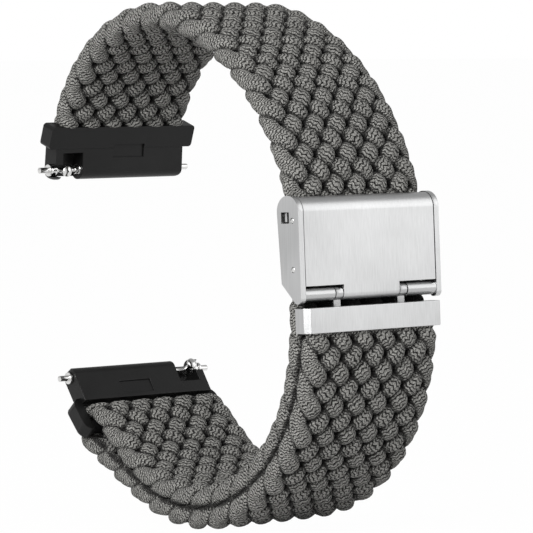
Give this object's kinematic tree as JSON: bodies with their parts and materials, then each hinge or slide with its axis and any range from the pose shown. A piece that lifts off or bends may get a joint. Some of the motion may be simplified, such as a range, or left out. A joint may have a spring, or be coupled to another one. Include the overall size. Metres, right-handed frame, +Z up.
{
  "type": "watch_strap",
  "caption": "Braided nylon watch strap with a fold-over steel clasp, a folded tail in a metal end bar and black quick release spring bar adapters",
  "frame": {"origin": "middle of the upper spring bar, on its axis", "axes": "X across the strap along both spring bars, Y from the clasp to the watch side, Z up, as the strap stands in the picture"},
  "size_m": [0.0252, 0.0558, 0.0677],
  "materials": {
    "black_plastic": "satin moulded",
    "braid": "braided cord, soft",
    "brushed": "brushed along the strap",
    "polished": "polished",
    "bar_steel": "drawn"
  },
  "bodies": {
    "strap": {"upper_adapter": "black_plastic", "upper_bar_tube": "bar_steel", "upper_bar_tip": "polished", "upper_bar_spring": "bar_steel", "strap_root": "braid", "strap_top": "braid", "strap_front": "braid", "strap_mouth": "braid", "strap_clamped": "braid", "strap_inner_front": "braid", "strap_inner_bottom": "braid", "strap_inner_end": "braid", "strap_fold": "braid", "strap_outer_end": "braid", "strap_outer_bottom": "braid", "strap_outer_front": "braid", "clasp_frame": "brushed", "hinge_pin": "polished", "hinge_sleeve_left": "polished", "hinge_sleeve_right": "polished", "latch_pin": "polished", "grip_pin": "polished"},
    "upper_release": {"upper_plunger": "polished", "upper_knob": "polished"},
    "lower_end": {"lower_adapter": "black_plastic", "lower_bar_tube": "bar_steel", "lower_bar_tip": "polished", "lower_bar_spring": "bar_steel"},
    "lower_release": {"lower_plunger": "polished", "lower_knob": "polished"},
    "grip": {"grip_plate": "brushed"},
    "cover": {"flap": "brushed", "latch_clip": "polished"},
    "tail_end": {"end_bar": "brushed", "link_arms": "brushed", "strap_tail": "braid"}
  },
  "joints": [
    {"name": "upper_release_slide", "type": "slide", "parent": "strap", "child": "upper_release", "axis": [1, 0, 0], "range_m": [0, 0.0016], "stiffness_N_per_m": 300, "springref_m": -0.002},
    {"name": "lower_adapter_hinge", "type": "hinge", "parent": "strap", "child": "lower_end", "pos_m": [0, -0.00839, -0.03416], "axis": [1, 0, 0], "range_deg": [-12, 12]},
    {"name": "lower_release_slide", "type": "slide", "parent": "lower_end", "child": "lower_release", "axis": [-1, 0, 0], "range_m": [0, 0.0016], "stiffness_N_per_m": 300, "springref_m": -0.002},
    {"name": "flap_hinge", "type": "hinge", "parent": "strap", "child": "cover", "pos_m": [0, -0.05275, -0.01415], "axis": [1, 0, 0], "range_deg": [0, 110]},
    {"name": "grip_hinge", "type": "hinge", "parent": "strap", "child": "grip", "pos_m": [0, -0.05213, -0.01102], "axis": [1, 0, 0], "range_deg": [0, 3.3]},
    {"name": "end_bar_hinge", "type": "hinge", "parent": "strap", "child": "tail_end", "pos_m": [0, -0.05275, -0.01415], "axis": [1, 0, 0], "range_deg": [-10, 0]}
  ]
}
